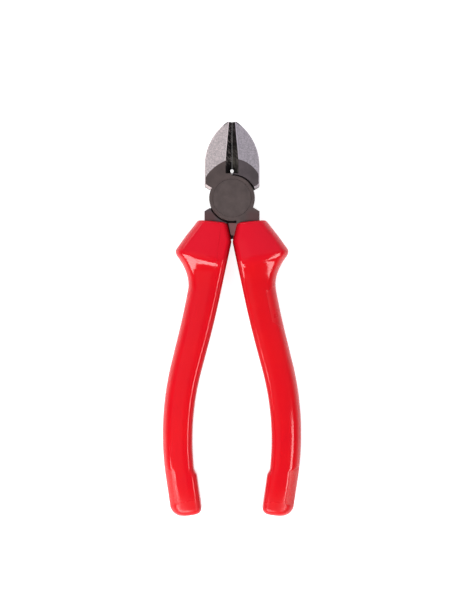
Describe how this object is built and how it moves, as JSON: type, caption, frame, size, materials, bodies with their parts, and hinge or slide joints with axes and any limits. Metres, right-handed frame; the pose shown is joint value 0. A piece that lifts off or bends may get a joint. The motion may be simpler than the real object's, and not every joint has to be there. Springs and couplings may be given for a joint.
{
  "type": "diagonal cutting pliers",
  "caption": "Diagonal cutting pliers with ground, bevelled jaws, a riveted lap joint and thick moulded red grips with flared hand guards.",
  "frame": {"origin": "on the pivot axis, at the back face of the lap joint, with the jaws closed", "axes": "+Y along the tool to the jaw tips, +X to the right seen from the front, +Z out of the front face along the pivot"},
  "size_m": [0.0562, 0.1595, 0.0156],
  "materials": {
    "forged_steel": "dark phosphated forging with brighter ground jaws",
    "rivet_steel": "dark, ground flush",
    "grip": "glossy red moulded grip"
  },
  "bodies": {
    "front": {"front_half": "forged_steel", "pivot_rivet": "rivet_steel", "right_grip": "grip"},
    "back": {"back_half": "forged_steel", "left_grip": "grip"}
  },
  "joints": [
    {"name": "pivot", "type": "hinge", "parent": "front", "child": "back", "pos_m": [0, 0, 0], "axis": [0, 0, -1], "range_deg": [0, 44]}
  ]
}
